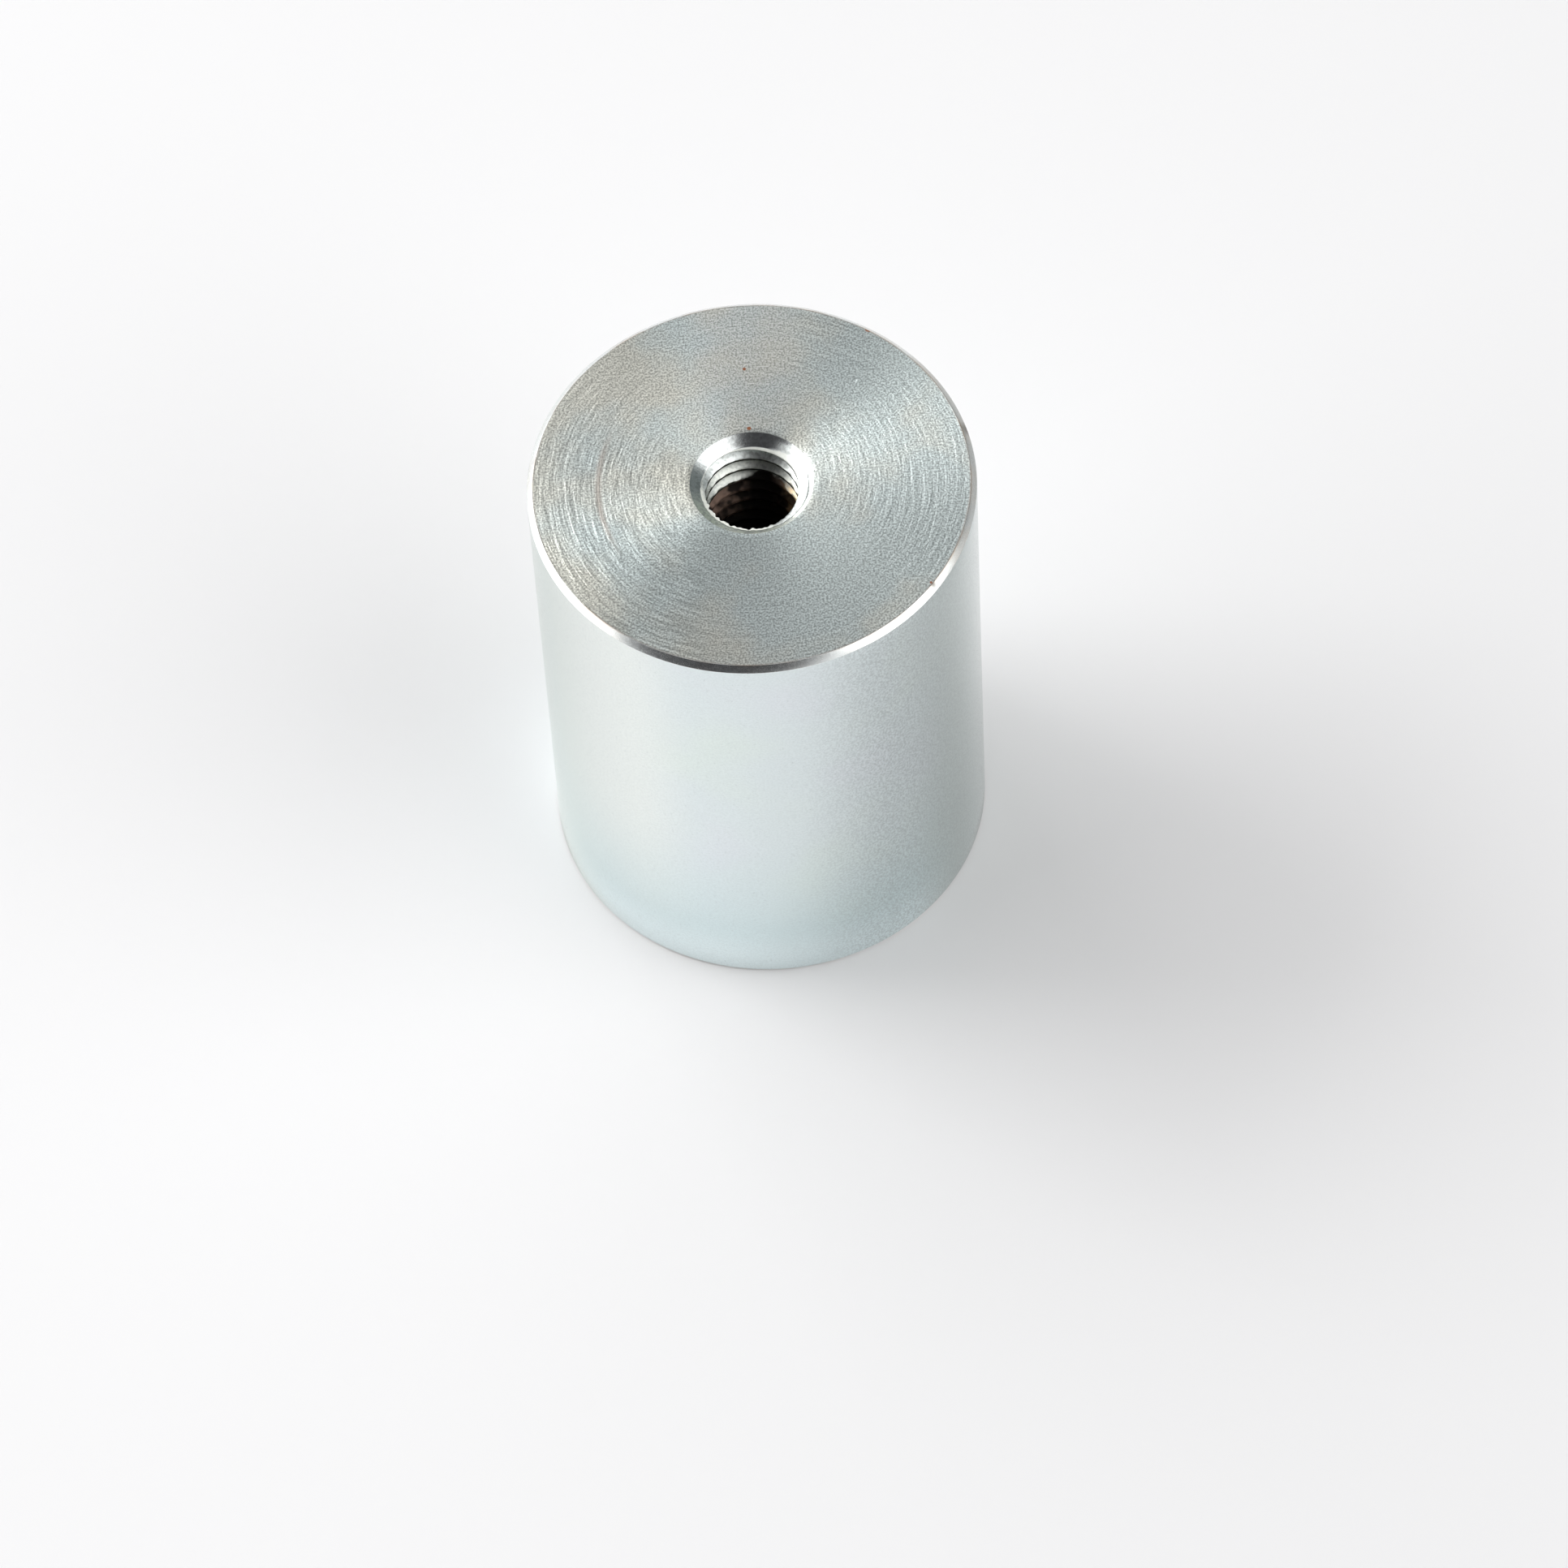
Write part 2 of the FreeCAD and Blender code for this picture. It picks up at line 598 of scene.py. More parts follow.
        # painted glint and shade along the tool marks
        contrast = w.span(w.step(rings, *self.scores), self.painted_glint_depth, -self.painted_glint_depth)
        painted_glints = w.plus(1.0, w.times(self.painted_glints.share(w, w.x), contrast))
        plate_with_painted_light = w.node("ShaderNodeVectorMath", self.hue(w, grain["Cloud"]), operation="SCALE")
        w.feed(plate_with_painted_light.inputs["Scale"], w.times(speckle, self.level(w), painted_glints))
        return plate_with_painted_light.outputs["Vector"]

    def stains(self, w: Finish, cloud: Socket) -> Socket:
        """Shares out the brown stains: an arc at the left, and a thin line round the rim.

        Args:
            w: the finish.
            cloud: broad clouds, from 0 to 1.

        Returns:
            The socket of the stain's share.
        """
        off_arc = w.math("ABSOLUTE", w.less(w.radius, self.arc_radius))
        arc = w.times(w.step(off_arc, self.arc_width, 0.0), w.step(w.x, *self.arc_edge), self.arc_share)
        rim = w.times(w.step(w.radius, *self.rim_edge), self.rim_share)
        return w.times(w.most(arc, rim), w.step(cloud, *self.stain_clouds))

    def material(self, effects: Effects) -> bpy.types.Material:
        """Builds the finish: rings that scatter light across them, stains and rust.

        Args:
            effects: the shared effects.

        Returns:
            The material.
        """
        w = Finish("turned_zinc_face", Anisotropic=0.85, Anisotropic_Rotation=0.25)
        grain = w.shared(effects.plating, Grain=7000.0, Cloud=170.0)
        rings = w.shared(effects.turning, Rings=7000.0, Breaks=5.0)["Height"]
        bold = w.shared(effects.turning, Rings=3300.0, Breaks=4.5)["Height"]
        plate = self.metal(w, grain, rings)
        stained = w.blend(self.stains(w, grain["Cloud"]), plate, self.stain)
        amount = w.most(*(dot.share(w) for dot in self.rust_dots))
        rust = w.shared(effects.rust, Amount=w.less(amount, self.rust_onset))
        satin = w.span(w.step(w.radius, *self.roughness_edge), *self.roughness)
        nicked = w.less(rings, w.times(self.nick.share(w), self.nick_depth))
        wings = w.span(w.step(w.math("ABSOLUTE", w.x), *self.bold_edge), *self.bold_share)
        speckle = w.times(grain["Grain"], self.grain_share)
        return w.give(
            Base_Color=w.blend(rust["Mask"], stained, self.rust),
            Metallic=w.less(1.0, w.times(rust["Mask"], self.rust_dullness)),
            Roughness=w.plus(satin, w.span(grain["Grain"], *self.roughness_grain)),
            Normal=w.bump(w.plus(nicked, w.times(bold, wings), speckle), self.relief),
        )


@dataclass(frozen=True)
class CutChamfer:
    """Bright chamfer, cut after the face was turned and nearly a mirror, with painted shade on its
    right.
    """

    colour: Colour = (0.80, 0.83, 0.82)
    # painted shade: the darker colour of the chamfer's right part
    painted_shade_colour: Colour = (0.52, 0.54, 0.53)
    painted_shade_edge: Span = (11.0 * MM, 14.0 * MM)
    tan: Colour = (0.58, 0.49, 0.40)
    tan_clouds: Span = (0.4, 0.7)
    tan_share: Span = (0.25, 0.9)
    inner_edge: Span = (15.68 * MM, 15.6 * MM)
    worn: Colour = (0.1, 0.085, 0.07)
    worn_share: float = 0.8
    scuff: Mark = Mark(15.7 * MM, 3.7 * MM, 0.45 * MM)
    notch: Mark = Mark(12.25 * MM, -9.65 * MM, 0.2 * MM)
    roughness: Span = (0.205, 0.315)
    relief: float = 0.006 * MM

    def material(self, effects: Effects) -> bpy.types.Material:
        """Builds the finish: a mirror with a slight waver round the rim.

        Args:
            effects: the shared effects.

        Returns:
            The material.
        """
        w = Finish("cut_chamfer", Metallic=1.0)
        waver = w.shared(effects.turning, Rings=2600.0, Breaks=14.0)
        grain = w.shared(effects.plating, Grain=4200.0, Cloud=300.0)
        inner = w.span(w.step(w.radius, *self.inner_edge), *self.tan_share)
        tanned = w.times(w.step(grain["Cloud"], *self.tan_clouds), inner)
        worn = w.times(w.most(self.scuff.share(w), self.notch.share(w)), self.worn_share)
        # painted shade darkens the chamfer towards the right
        plate = w.blend(w.step(w.x, *self.painted_shade_edge), self.colour, self.painted_shade_colour)
        return w.give(
            Base_Color=w.blend(worn, w.blend(tanned, plate, self.tan), self.worn),
            Roughness=w.span(grain["Grain"], *self.roughness),
            Normal=w.bump(waver["Height"], self.relief),
        )


@dataclass(frozen=True)
class TappedHole:
    """Countersink and thread: a bright smooth cone, rougher turns, and rust further down, with painted
    light on the near cone and painted shade down the hole.

    Depths are measured down from the threaded end.
    """

    cone_plate: Colour = (0.75, 0.78, 0.77)
    cone_dull: Colour = (0.55, 0.57, 0.56)
    # painted light: a brighter colour for the near part of the countersink
    near_cone_painted_light: Colour = (0.85, 0.89, 0.79)
    near_cone_light_edge: Span = (-0.3 * MM, -2.6 * MM)
    off_cone_edge: Span = (0.006 * MM, 0.03 * MM)
    thread_plate: Colour = (0.76, 0.80, 0.785)
    thread_dull: Colour = (0.40, 0.42, 0.40)
    # painted shade: the turns are darker further down the hole
    deeper_painted_shade: Colour = (0.60, 0.62, 0.575)
    deeper_shade_edge: Span = (1.3 * MM, 2.6 * MM)
    dull_grain: Span = (0.4, 0.68)
    dull_share: float = 0.8
    burr_plate: Colour = (0.93, 0.95, 0.88)
    burr_dullness: float = 0.9
    near_left: Span = (-0.64, -0.768)
    near_left_edge: Span = (1.0 * MM, 2.4 * MM)
    turned_over: Span = (0.48, 0.68)
    first_turn_radius: Span = (4.05 * MM, 3.85 * MM)
    first_turn_depth: Span = (1.5 * MM, 1.25 * MM)
    ragged_radius: float = 0.25 * MM
    ragged_depth: float = 0.1 * MM
    lip_edge: Span = (0.45, 0.8)
    lip_depth: Span = (0.42 * MM, 0.50 * MM)
    far_lip_edge: Span = (-1.0 * MM, 1.0 * MM)
    far_lip_by: float = 0.25
    clean_lip: Window = Window((0.0, 2.0 * MM), (0.0, -1.0 * MM))
    clean_lip_share: Span = (0.85, 0.1)
    gold_stain: Colour = (0.74, 0.57, 0.36)
    gold_edge: Span = (2.1 * MM, 2.9 * MM)
    gold_depth: Span = (2.9 * MM, 3.7 * MM)
    # partly a golden rust, partly a painted glint on the right wall
    gold_rust_and_glint: Colour = (0.75, 0.48, 0.22)
    gold_glint_edge: Span = (1.9 * MM, 2.9 * MM)
    gold_glint_share: Span = (0.1, 1.0)
    # painted shade: nearly black, laid over the rust in the middle of the hole and deep down
    painted_shade_black: Colour = (0.008, 0.006, 0.005)
    painted_shade_centre: float = 0.7 * MM
    painted_shade_sides: Span = (0.5 * MM, 2.2 * MM)
    painted_shade_depth: Span = (9.5 * MM, 6.0 * MM)
    rust_depth: Span = (3.7 * MM, 4.6 * MM)
    # partly painted shade: the rust starts higher in the middle of the hole, its dark colour standing
    # in for shadow
    early_centre: float = 0.9 * MM
    early_edge: Span = (1.8 * MM, 0.2 * MM)
    early_by: float = 0.25 * MM
    late_left: Span = (-0.5 * MM, -1.5 * MM)
    late_left_share: float = 0.2
    late_by: float = 0.6 * MM
    rust_dullness: float = 0.85
    rust_roughness: float = 0.25
    cone_roughness: float = 0.21
    thread_roughness: float = 0.34
    relief: float = 0.005 * MM

    def off_cone(self, w: Finish, depth: Socket, rim: float, slope: float) -> Socket:
        """Returns 0 on the countersink's cone, rising to 1 on the lip and the thread below."""
        cone = w.less(rim, w.times(depth, slope))
        return w.step(w.less(w.radius, cone), *self.off_cone_edge)

    def rust_with_painted_shade(self, w: Finish, depth: Socket, rust: dict[str, Socket]) -> Socket:
        """Colours the rust, with painted shade that makes it nearly black in the middle and deep down;
        golden at the right, partly a painted glint.

        Args:
            w: the finish.
            depth: the depth below the threaded end.
            rust: the outputs of the rust's shared effect.

        Returns:
            The colour's socket.
        """
        # golden rust with a painted glint at the right
        patches = w.span(rust["Patches"], *self.gold_glint_share)
        right = w.times(w.step(w.x, *self.gold_glint_edge), patches)
        golden = w.blend(right, rust["Colour"], self.gold_rust_and_glint)
        # painted shade: the rust turns nearly black in the middle and deep down
        sides = w.step(w.math("ABSOLUTE", w.less(w.x, self.painted_shade_centre)), *self.painted_shade_sides)
        return w.blend(w.times(sides, w.step(depth, *self.painted_shade_depth)), self.painted_shade_black, golden)

    def sunk(self, w: Finish, depth: Socket, right: Socket) -> Socket:
        """Works out how much rust there is: it starts higher in the middle, partly as painted shade,
        and lower aside.

        Args:
            w: the finish.
            depth: the depth below the threaded end.
            right: the share of the right side.

        Returns:
            The amount, from 0 on the plated turns to 1 where the thread is bare.
        """
        middle = w.step(w.math("ABSOLUTE", w.less(w.x, self.early_centre)), *self.early_edge)
        later = w.most(right, w.times(w.step(w.x, *self.late_left), self.late_left_share))
        shift = w.less(w.times(middle, self.early_by), w.times(later, self.late_by))
        return w.step(w.plus(depth, shift), *self.rust_depth)

    def burred(self, w: Finish, depth: Socket, grain: Socket, threaded: Socket) -> Socket:
        """Shares out the matt burr that the tap left on the lip, widest at the near left.

        X and Y are weighed with the direction of the near left. There the burr also covers
        the first turn, and a part of it is turned over onto the countersink.

        Args:
            w: the finish.
            depth: the depth below the threaded end.
            grain: fine speckle, which makes the burr ragged.
            threaded: the share of the lip and the thread.

        Returns:
            The share's socket.
        """
        facing = w.plus(w.times(w.x, self.near_left[0]), w.times(w.y, self.near_left[1]))
        near_left = w.step(facing, *self.near_left_edge)
        inside = w.plus(w.radius, w.span(grain, -self.ragged_radius, self.ragged_radius))
        shallow = w.step(depth, *self.first_turn_depth)
        first_turn = w.times(near_left, w.step(inside, *self.first_turn_radius), shallow)
        wider = w.plus(w.stored("lip"), w.times(w.step(w.y, *self.far_lip_edge), self.far_lip_by))
        uneven = w.plus(depth, w.span(grain, -self.ragged_depth, self.ragged_depth))
        clean = w.span(self.clean_lip.share(w, w.x), *self.clean_lip_share)
        lip = w.times(w.step(wider, *self.lip_edge), w.step(uneven, *self.lip_depth), clean)
        turned_over = w.times(near_left, w.step(w.stored("lip"), *self.turned_over))
        return w.most(w.times(threaded, w.most(first_turn, lip)), turned_over)

    def material(self, effects: Effects, top: float, rim: float, slope: float) -> bpy.types.Material:
        """Builds the finish, which turns from plate to rust by depth with a ragged edge.

        Args:
            effects: the shared effects.
            top: the height of the threaded end.
            rim: the countersink's radius at the threaded end.
            slope: how much narrower the countersink gets for each unit of depth.

        Returns:
            The material.
        """
        w = Finish("tapped_hole", Specular_IOR_Level=0.15)
        depth = w.less(top, w.z)
        cuts = w.shared(effects.turning, Rings=5000.0, Breaks=7.0)["Height"]
        grain = w.shared(effects.plating, Grain=3800.0, Cloud=420.0)["Grain"]
        right = w.step(w.x, *self.gold_edge)
        rust = w.shared(effects.rust, Amount=self.sunk(w, depth, right))
        mask = rust["Mask"]
        threaded = self.off_cone(w, depth, rim, slope)
        burr = self.burred(w, depth, grain, threaded)
        # painted light brightens the near part of the cone
        cone = w.blend(w.step(w.y, *self.near_cone_light_edge), self.cone_plate, self.near_cone_painted_light)
        # painted shade darkens the turns deeper in the hole
        shaded_deeper = w.blend(w.step(depth, *self.deeper_shade_edge), self.thread_plate, self.deeper_painted_shade)
        golden = w.times(right, w.step(depth, *self.gold_depth))
        thread = w.blend(burr, w.blend(golden, shaded_deeper, self.gold_stain), self.burr_plate)
        dull = w.blend(threaded, self.cone_dull, self.thread_dull)
        dulled = w.times(w.step(grain, *self.dull_grain), self.dull_share, w.less(1.0, burr))
        plated = w.blend(dulled, w.blend(threaded, cone, thread), dull)
        matt = w.most(w.times(mask, self.rust_dullness), w.times(burr, self.burr_dullness))
        smooth = w.span(threaded, self.cone_roughness, self.thread_roughness)
        return w.give(
            Base_Color=w.blend(mask, plated, self.rust_with_painted_shade(w, depth, rust)),
            Metallic=w.less(1.0, matt),
            Roughness=w.plus(smooth, w.times(mask, self.rust_roughness)),
            Normal=w.bump(w.plus(cuts, grain), self.relief),
        )


@dataclass(frozen=True)
class GroundFace:
    """A metal ground flush on the magnetic face."""

    name: str
    bright: Colour
    dull: Colour
    roughness: float
    pits: float = 0.0
    pit_colour: Colour = (0.08, 0.075, 0.07)
    pit_grain: Span = (0.64, 0.72)
    pit_depth: float = 2.0
    scratch_share: float = 0.6
    shade_edge: Span = (0.35, 0.65)
    roughness_by: Span = (-0.08, 0.1)
    relief: float = 0.004 * MM

    def material(self, effects: Effects) -> bpy.types.Material:
        """Builds the finish: straight grinding scratches, clouds and casting pits.

        Args:
            effects: the shared effects.

        Returns:
            The material.
        """
        w = Finish(self.name, Metallic=1.0)
        scratches = w.shared(effects.grinding, Across=7000.0, Along=140.0)["Height"]
        grain = w.shared(effects.plating, Grain=1500.0, Cloud=130.0)
        clouds = w.times(grain["Cloud"], 1.0 - self.scratch_share)
        shade = w.plus(w.times(scratches, self.scratch_share), clouds)
        worked = w.blend(w.step(shade, *self.shade_edge), self.dull, self.bright)
        pit = w.times(w.step(grain["Grain"], *self.pit_grain), self.pits)
        polished, scratched = (self.roughness + change for change in self.roughness_by)
        return w.give(
            Base_Color=w.blend(pit, worked, self.pit_colour),
            Roughness=w.span(shade, polished, scratched),
            Normal=w.bump(w.less(scratches, w.times(pit, self.pit_depth)), self.relief),
        )


@dataclass(frozen=True)
class ShopFloor:
    """Plain pale floor, evenly coloured and slightly mottled."""

    colour: Colour = (0.895, 0.89, 0.89)
    mottle: Colour = (0.8, 0.8, 0.8)
    mottle_share: float = 0.06

    def material(self) -> bpy.types.Material:
        """Builds the floor's paper-like finish.

        Returns:
            The material.
        """
        w = Finish("pale_floor", Roughness=0.9, Specular_IOR_Level=0.1)
        tone = w.span(w.noise(w.place, 18.0, 2.0), 0.0, self.mottle_share)
        return w.give(Base_Color=w.blend(tone, self.colour, self.mottle))


@dataclass
class ThreadForm:
    """An M8 x 1.25 internal thread as a height field over angle and depth."""

    minor_radius: float
    major_radius: float = 4.0 * MM
    pitch: float = 1.25 * MM
    full_depth: float = 11.0 * MM
    runout: float = 1.3 * MM
    crest_share: float = 0.17
    root_share: float = 0.14
    softness: float = 0.25
    start: float = 0.31

    def radius(self, angle: np.ndarray, depth: np.ndarray) -> np.ndarray:
        """Works out the wall's radius at each angle and depth.

        The turn count is the depth over the pitch, plus the angle over a full turn, so the
        thread sinks as one goes round clockwise from above: a right-hand thread. The groove is
        a trapezium: full at the root flat, none at the crest flat, straight on the flanks. A
        share of an S curve softens its corners. Past the full depth the groove fades out as
        the tap's lead leaves it.

        Args:
            angle: angles about the axis, in radians.
            depth: depths below the threaded end, in metres.

        Returns:
            The radii, in metres.
        """
        phase = np.mod(depth / self.pitch + angle / TURN + self.start, 1.0)
        from_root = np.abs(phase - 0.5)
        flank_outside = 0.5 - self.crest_share / 2.0
        flank_inside = self.root_share / 2.0
        straight = np.clip((flank_outside - from_root) / (flank_outside - flank_inside), 0.0, 1.0)
        curved = straight * straight * (3.0 - 2.0 * straight)
        groove = (1.0 - self.softness) * straight + self.softness * curved
        fade = np.clip((self.full_depth + self.runout - depth) / self.runout, 0.0, 1.0)
        return self.minor_radius + (self.major_radius - self.minor_radius) * groove * fade


@dataclass
class PotHousing:
    """The turned pot, with its tapped hole, as one closed surface of rings round the axis."""

    columns: int = 256
    chamfer: float = 0.4 * MM
    foot_chamfer: float = 0.2 * MM
    wall: float = 3.0 * MM
    bore_corner: float = 0.5 * MM
    floor_web: float = 1.5 * MM
    countersink_radius: float = 4.4 * MM
    countersink_half_angle: float = math.radians(60.0)
    point_half_angle: float = math.radians(59.0)
    edge_round: float = 0.035 * MM
    lip_round: float = 0.3 * MM
    burr: float = 0.05 * MM
    burr_angle: float = math.radians(235.0)
    burr_waves: tuple[Span, ...] = ((19.0, 0.0), (31.0, 1.0), (47.0, 2.0))
    first_crest: float = 1.0 * MM
    crest_width: float = 0.17 * MM
    crest_raise: float = 1.35
    thread_step: float = 0.06 * MM
    mouth_step: float = 0.02 * MM
    mouth_share: float = 1.4
    point_shares: Span = (0.3, 0.9)
    pole_share: float = 0.004
    face_rings: int = 26
    side_rings: int = 24
    edge_points: int = 4
    corner_points: int = 6
    web_shares: Span = (0.6, 0.3)
    sharp_angle: float = math.radians(40.0)
    rows: list[tuple[np.ndarray, np.ndarray, np.ndarray]] = field(default_factory=list)
    zones: list[Zone] = field(default_factory=list)

    def __post_init__(self) -> None:
        """Reads the outside and the hole from the frame."""
        low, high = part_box("pot_housing")
        hole = next(m for m in frame["record"]["mounts"] if m["name"] == "fixing_thread")
        self.radius = min(high[0], high[1], -low[0], -low[1])
        self.height = high[2] - low[2]
        self.hole_radius = hole["dims"]["r_mm"] * MM
        self.cone_slope = math.tan(self.countersink_half_angle)
        self.lip_depth = (self.countersink_radius - self.hole_radius) / self.cone_slope
        self.drilled_depth = hole["dims"]["length_mm"] * MM + self.lip_depth
        self.point_height = self.hole_radius / math.tan(self.point_half_angle)
        self.thread = ThreadForm(self.hole_radius)
        self.angle = np.arange(self.columns) * TURN / self.columns

    def ring(self, radius: Any, height: Any, zone: Zone, lip: Any = 0.0) -> None:
        """Adds a ring of points, and the zone of the faces that lead to it.

        Args:
            radius: one radius, or one for each column.
            height: one height, or one for each column.
            zone: the finish between this ring and the one before.
            lip: how near each point is to the hole's lip, from 0 to 1.
        """
        row = tuple(np.broadcast_to(values, self.columns) for values in (radius, height, lip))
        self.rows.append(row)
        self.zones.append(zone)

    def run(self, radii: np.ndarray, heights: np.ndarray, zone: Zone) -> None:
        """Adds several rings in turn.

        Args:
            radii: the rings' radii.
            heights: the rings' heights.
            zone: the finish of the faces that lead to them.
        """
        for radius, height in zip(radii, heights):
            self.ring(float(radius), float(height), zone)

    def soft_edge(self, radius: float, height: float, before: float, after: float, zone: Zone) -> None:
        """Rounds a convex edge on a small arc.

        The arc's centre stands one edge radius inside both surfaces, and its points are the
        centre plus the edge radius times the cosine and sine of the normal's angle.

        Args:
            radius: the sharp edge's radius.
            height: the sharp edge's height.
            before: the normal's angle before the edge, from outwards towards up, in degrees.
            after: the normal's angle after the edge.
            zone: the finish of the edge.
        """
        first, last = math.radians(before), math.radians(after)
        middle = (first + last) / 2.0
        reach = self.edge_round / math.cos((last - first) / 2.0)
        centre = (radius - reach * math.cos(middle), height - reach * math.sin(middle))
        angles = np.linspace(first, last, self.edge_points)
        radii = centre[0] + self.edge_round * np.cos(angles)
        heights = centre[1] + self.edge_round * np.sin(angles)
        self.run(radii, heights, zone)

    def hole(self) -> None:
        """Adds the hole from its drilled point up to the countersink's rim.

        Each ring lies at one depth. Its radius is the larger of the thread's and of the
        countersink's cone, which is the rim's radius less the depth times the tangent of the
        cone's half angle. Where the two are nearly equal the lip is rounded off: the radius
        gains a quarter of the rounding times the square of their nearness.

        At the near left the tap left a ragged burr on the lip and on the first crest, made of
        a few sines of the angle. It also raised that crest: the wall is drawn in to the hole's
        radius by a share that is a bell curve of the depth.
        """
        top = self.height
        shares = np.array([self.pole_share, *np.linspace(*self.point_shares, 3)])
        point = top - self.drilled_depth - self.point_height * (1.0 - shares)
        self.run(self.hole_radius * shares, point, Zone.TAPPED_HOLE)
        mouth = self.lip_depth * self.mouth_share
        below = np.arange(self.drilled_depth, mouth, -self.thread_step)
        depths = np.concatenate([below, np.arange(mouth, 0.0, -self.mouth_step)])
        ragged = sum(np.sin(waves * self.angle + phase) for waves, phase in self.burr_waves)
        near_left = np.clip(np.cos(self.angle - self.burr_angle), 0.0, 1.0)
        for depth in depths:
            cone = self.countersink_radius - depth * self.cone_slope
            thread = self.thread.radius(self.angle, depth)
            nearness = np.clip(1.0 - np.abs(thread - cone) / self.lip_round, 0.0, 1.0)
            wall = np.maximum(thread, cone) + self.lip_round / 4.0 * nearness**2
            crest = np.exp(-(((depth - self.first_crest) / self.crest_width) ** 2))
            raised = np.minimum(self.crest_raise * near_left * crest, 1.0) * (wall - self.hole_radius)
            burr = self.burr * ragged * near_left * np.maximum(nearness**3, crest)
            self.ring(wall - raised - burr, top - depth, Zone.TAPPED_HOLE, nearness)
        self.ring(self.countersink_radius, top, Zone.TAPPED_HOLE)

    def outside(self) -> None:
        """Adds the threaded end, its chamfer, the side, the foot chamfer and the ground rim."""
        top, outer = self.height, self.radius
        flat = outer - self.chamfer
        radii = np.linspace(self.countersink_radius, flat - self.edge_round, self.face_rings)[1:]
        self.run(radii, np.full(len(radii), top), Zone.TURNED_FACE)
        self.soft_edge(flat, top, 90.0, 45.0, Zone.CHAMFER)
        self.soft_edge(outer, top - self.chamfer, 45.0, 0.0, Zone.CHAMFER)
        highest = top - self.chamfer - self.edge_round
        lowest = self.foot_chamfer + self.edge_round
        heights = np.linspace(highest, lowest, self.side_rings)[1:-1]
        self.run(np.full(len(heights), outer), heights, Zone.SIDE)
        self.soft_edge(outer, self.foot_chamfer, 0.0, -45.0, Zone.SIDE)
        self.soft_edge(outer - self.foot_chamfer, 0.0, -45.0, -90.0, Zone.CHAMFER)
        inner = outer - self.wall
        self.run(np.array([outer - self.wall / 2.0, inner]), np.zeros(2), Zone.GROUND_RIM)

    def bore(self) -> None:
        """Adds the bore that holds the sleeve and the core, up to its floor and the axis."""
        inner = self.radius - self.wall
        level = self.height - self.drilled_depth - self.point_height - self.floor_web
        self.ring(inner, (level - self.bore_corner) / 2.0, Zone.BORE)
        sweep = np.linspace(0.0, TURN / 4.0, self.corner_points)
        self.run(
            inner - self.bore_corner * (1.0 - np.cos(sweep)),
            level - self.bore_corner * (1.0 - np.sin(sweep)),
            Zone.BORE,
        )
        self.run(inner * np.array([*self.web_shares, self.pole_share]), np.full(3, level), Zone.BORE)

    def mesh(self) -> bpy.types.Mesh:
        """Joins the rings into one closed mesh, with a pole at each end of the outline.

        Returns:
            The mesh, smooth but for its real edges, with a zone index on each face.
        """
        self.hole()
        self.outside()
        self.bore()
        radii = np.array([row[0] for row in self.rows])
        heights = np.array([row[1] for row in self.rows])
        points = np.stack([radii * np.cos(self.angle), radii * np.sin(self.angle), heights], axis=-1)
        poles = np.array([[0.0, 0.0, heights[0, 0]], [0.0, 0.0, heights[-1, 0]]])
        rings, columns = radii.shape
        index = np.arange(rings * columns).reshape(rings, columns)
        after = np.roll(index, -1, axis=1)
        quads = np.stack([index[:-1], after[:-1], after[1:], index[1:]], axis=-1).reshape(-1, 4)
        first_pole = rings * columns
        start = np.stack([np.full(columns, first_pole), after[0], index[0]], axis=-1)
        end = np.stack([np.full(columns, first_pole + 1), index[-1], after[-1]], axis=-1)
        mesh = bpy.data.meshes.new("pot_shell")
        everything = np.concatenate([points.reshape(-1, 3), poles])
        mesh.from_pydata(everything.tolist(), [], quads.tolist() + start.tolist() + end.tolist())
        faced = [*self.zones[1:], self.zones[0], self.zones[-1]]
        slots = np.repeat([zone.value for zone in faced], columns)
        mesh.polygons.foreach_set("material_index", slots.astype(np.int32))
        lip = np.concatenate([np.array([row[2] for row in self.rows]).ravel(), np.zeros(2)])
        mesh.attributes.new("lip", "FLOAT", "POINT").data.foreach_set("value", lip.astype(np.float32))
        mesh.polygons.foreach_set("use_smooth", np.ones(len(mesh.polygons), dtype=bool))
        mesh.set_sharp_from_angle(angle=self.sharp_angle)
        mesh.update()
        return mesh

    def build(self, effects: Effects) -> bpy.types.Object:
        """Makes the pot's piece, dresses it and puts it in the place of its solid.

        Args:
            effects: the shared effects.

        Returns:
            The piece.
        """
        piece = bpy.data.objects.new("pot_shell", self.mesh())
        bpy.context.scene.collection.objects.link(piece)
        ground_steel = GroundFace("ground_steel", (0.62, 0.62, 0.61), (0.48, 0.48, 0.47), 0.3)
        bare_steel = GroundFace("bored_steel", (0.42, 0.42, 0.41), (0.3, 0.29, 0.28), 0.45)
        worn_by = {
            Zone.SIDE: BluePlate().material(effects),
            Zone.TURNED_FACE: TurnedFace().material(effects),
            Zone.CHAMFER: CutChamfer().material(effects),
            Zone.TAPPED_HOLE: TappedHole().material(
                effects, self.height, self.countersink_radius, self.cone_slope
            ),
            Zone.GROUND_RIM: ground_steel.material(effects),
            Zone.BORE: bare_steel.material(effects),
        }
        for zone in Zone:
            piece.data.materials.append(worn_by[zone])
        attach(piece, "root")
        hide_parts("pot_housing")
        LOG.info("pot_shell: %d faces, %d rings", len(piece.data.polygons), len(self.rows))
        return piece


